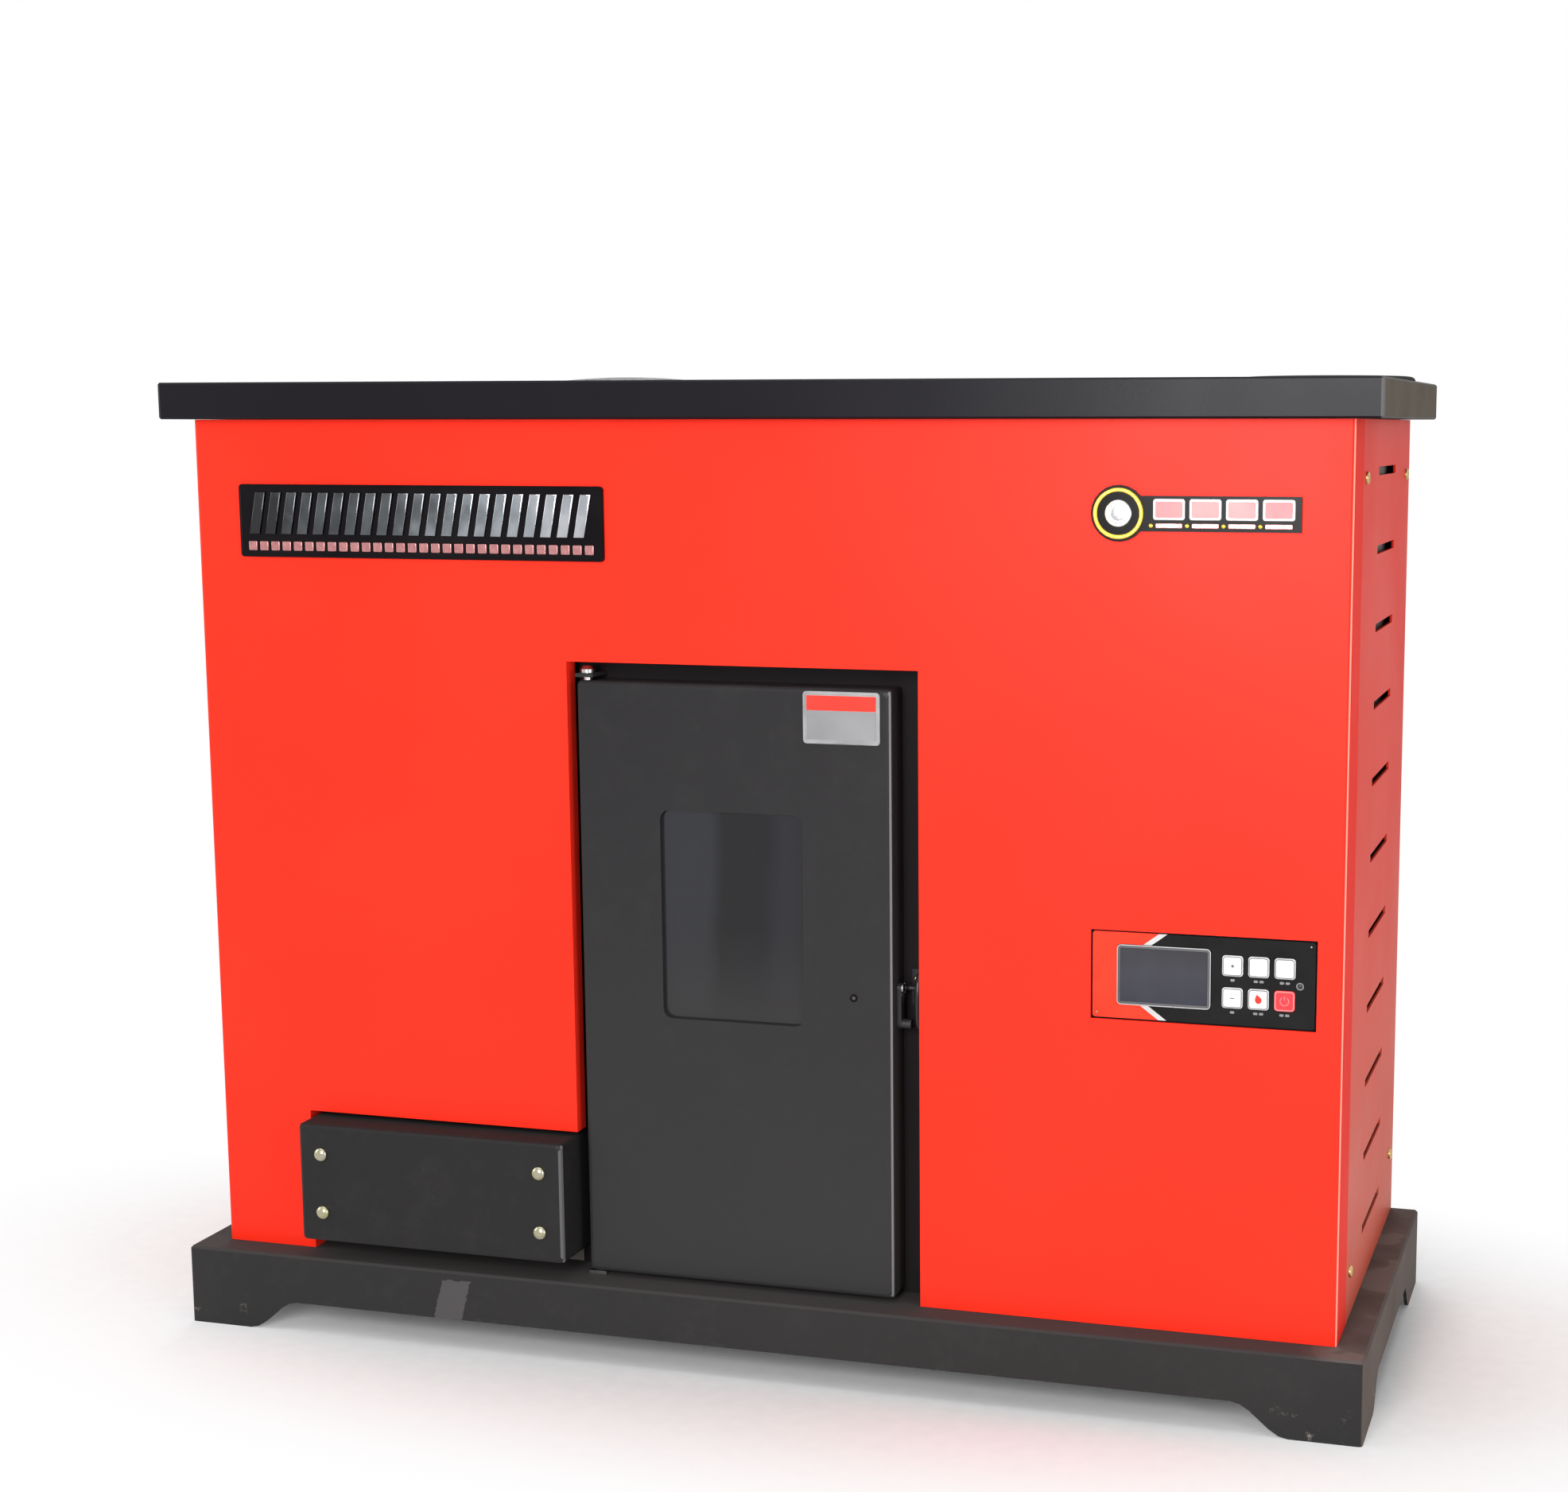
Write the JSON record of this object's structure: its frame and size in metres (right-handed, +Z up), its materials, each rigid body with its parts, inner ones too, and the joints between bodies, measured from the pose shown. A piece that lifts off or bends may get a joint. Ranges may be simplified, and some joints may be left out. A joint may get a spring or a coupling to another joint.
{
  "type": "boiler stove",
  "caption": "Free-standing automatic boiler stove: red sheet-steel cabinet, black plinth and top slab, hinged fire door with window, clean-out box and controller with keys.",
  "frame": {"origin": "On the floor, under the middle of the whole object's bounding box.", "axes": "+X runs to the right along the cabinet's width as seen from the front, +Y runs from the front to the back, +Z is up. The fire door faces -Y."},
  "size_m": [1.05, 0.4574, 0.8405],
  "materials": {
    "red_paint": "satin powder coat on folded steel sheet",
    "black_paint": "satin black powder coat on folded steel sheet",
    "boiler_steel": "plain mill-scale steel plate",
    "cast_iron": "sand-cast grey iron, blacked",
    "zinc": "yellowish zinc plating",
    "galvanised": "galvanised sheet steel",
    "dark_glass": "dark glass, slightly reflective",
    "rope": "braided heat-proof fibre rope",
    "silver_plate": "printed aluminium plate",
    "gloss_black": "gloss black moulded plastic",
    "white_key": "smooth white key cap",
    "red_key": "smooth red key cap"
  },
  "bodies": {
    "cabinet": {"base_plinth": "black_paint", "front_panel": "red_paint", "side_panel_left": "red_paint", "side_panel_right": "red_paint", "rear_panel": "galvanised", "top_slab": "black_paint", "hopper_lid_pin": "zinc", "latch_keeper": "zinc", "hinge_bracket_upper": "black_paint", "hinge_bracket_lower": "zinc", "hinge_pin_upper": "zinc", "ash_cover_box": "black_paint", "ash_cover_bolt_1": "zinc", "ash_cover_bolt_2": "zinc", "ash_cover_bolt_3": "zinc", "ash_cover_bolt_4": "zinc", "furnace_front_plate": "black_paint", "water_jacket_shell": "boiler_steel", "firebox_shell": "boiler_steel", "burner_shelf": "cast_iron", "baffle_plate": "cast_iron", "burner_pot": "cast_iron", "igniter": "zinc", "ash_drawer": "galvanised", "gas_duct": "boiler_steel", "exchanger_body": "boiler_steel", "tube_bundle": "boiler_steel", "hopper": "galvanised", "auger_tube": "boiler_steel", "auger_motor": "galvanised", "exhaust_fan_housing": "galvanised", "burner_fan_housing": "galvanised", "flue_collar": "galvanised", "water_flow_stub": "zinc", "water_return_stub": "zinc", "power_inlet": "gloss_black", "controller_housing": "gloss_black", "controller_face": "gloss_black", "display_lens": "dark_glass", "nameplate": "gloss_black", "badge": "gloss_black"},
    "fire_door": {"fire_door_shell": "black_paint", "door_inner_pan": "boiler_steel", "door_rope_seal": "rope", "door_glass": "dark_glass", "door_label_plate": "silver_plate", "latch_pivot_bolt": "zinc"},
    "latch": {"latch_handle": "black_paint"},
    "stove_lid": {"stove_lid": "cast_iron"},
    "hopper_lid": {"hopper_lid": "black_paint"},
    "auger": {"auger_screw": "boiler_steel"},
    "exhaust_rotor": {"exhaust_fan_rotor": "galvanised"},
    "burner_rotor": {"burner_fan_rotor": "galvanised"},
    "key_plus": {"key_plus": "white_key"},
    "key_menu": {"key_menu": "white_key"},
    "key_timer": {"key_timer": "white_key"},
    "key_minus": {"key_minus": "white_key"},
    "key_flame": {"key_flame": "white_key"},
    "key_power": {"key_power": "red_key"}
  },
  "joints": [
    {"name": "fire_door_hinge", "type": "hinge", "parent": "cabinet", "child": "fire_door", "pos_m": [-0.1405, -0.18635, 0.33025], "axis": [0, 0, -1], "range_deg": [0, 95]},
    {"name": "latch_turn", "type": "hinge", "parent": "fire_door", "child": "latch", "pos_m": [0.1295, -0.18185, 0.3377], "axis": [-1, 0, 0], "range_deg": [0, 60]},
    {"name": "stove_lid_lift", "type": "slide", "parent": "cabinet", "child": "stove_lid", "axis": [0, 0, 1], "range_m": [0, 0.06]},
    {"name": "hopper_lid_hinge", "type": "hinge", "parent": "cabinet", "child": "hopper_lid", "pos_m": [0.4382, 0.16595, 0.8373], "axis": [-1, 0, 0], "range_deg": [0, 95]},
    {"name": "auger_spin", "type": "hinge", "parent": "cabinet", "child": "auger", "pos_m": [0.0395, 0.00365, 0.385], "axis": [1, 0, 0], "continuous": true},
    {"name": "exhaust_fan_spin", "type": "hinge", "parent": "cabinet", "child": "exhaust_rotor", "pos_m": [-0.2934, 0.13895, 0.17], "axis": [0, 1, 0], "continuous": true},
    {"name": "burner_fan_spin", "type": "hinge", "parent": "cabinet", "child": "burner_rotor", "pos_m": [-0.0875, 0.13895, 0.26], "axis": [0, 1, 0], "continuous": true},
    {"name": "key_plus_press", "type": "slide", "parent": "cabinet", "child": "key_plus", "axis": [0, 1, 0], "range_m": [0, 0.0008], "stiffness_N_per_m": 1500},
    {"name": "key_menu_press", "type": "slide", "parent": "cabinet", "child": "key_menu", "axis": [0, 1, 0], "range_m": [0, 0.0008], "stiffness_N_per_m": 1500},
    {"name": "key_timer_press", "type": "slide", "parent": "cabinet", "child": "key_timer", "axis": [0, 1, 0], "range_m": [0, 0.0008], "stiffness_N_per_m": 1500},
    {"name": "key_minus_press", "type": "slide", "parent": "cabinet", "child": "key_minus", "axis": [0, 1, 0], "range_m": [0, 0.0008], "stiffness_N_per_m": 1500},
    {"name": "key_flame_press", "type": "slide", "parent": "cabinet", "child": "key_flame", "axis": [0, 1, 0], "range_m": [0, 0.0008], "stiffness_N_per_m": 1500},
    {"name": "key_power_press", "type": "slide", "parent": "cabinet", "child": "key_power", "axis": [0, 1, 0], "range_m": [0, 0.0008], "stiffness_N_per_m": 1500}
  ]
}
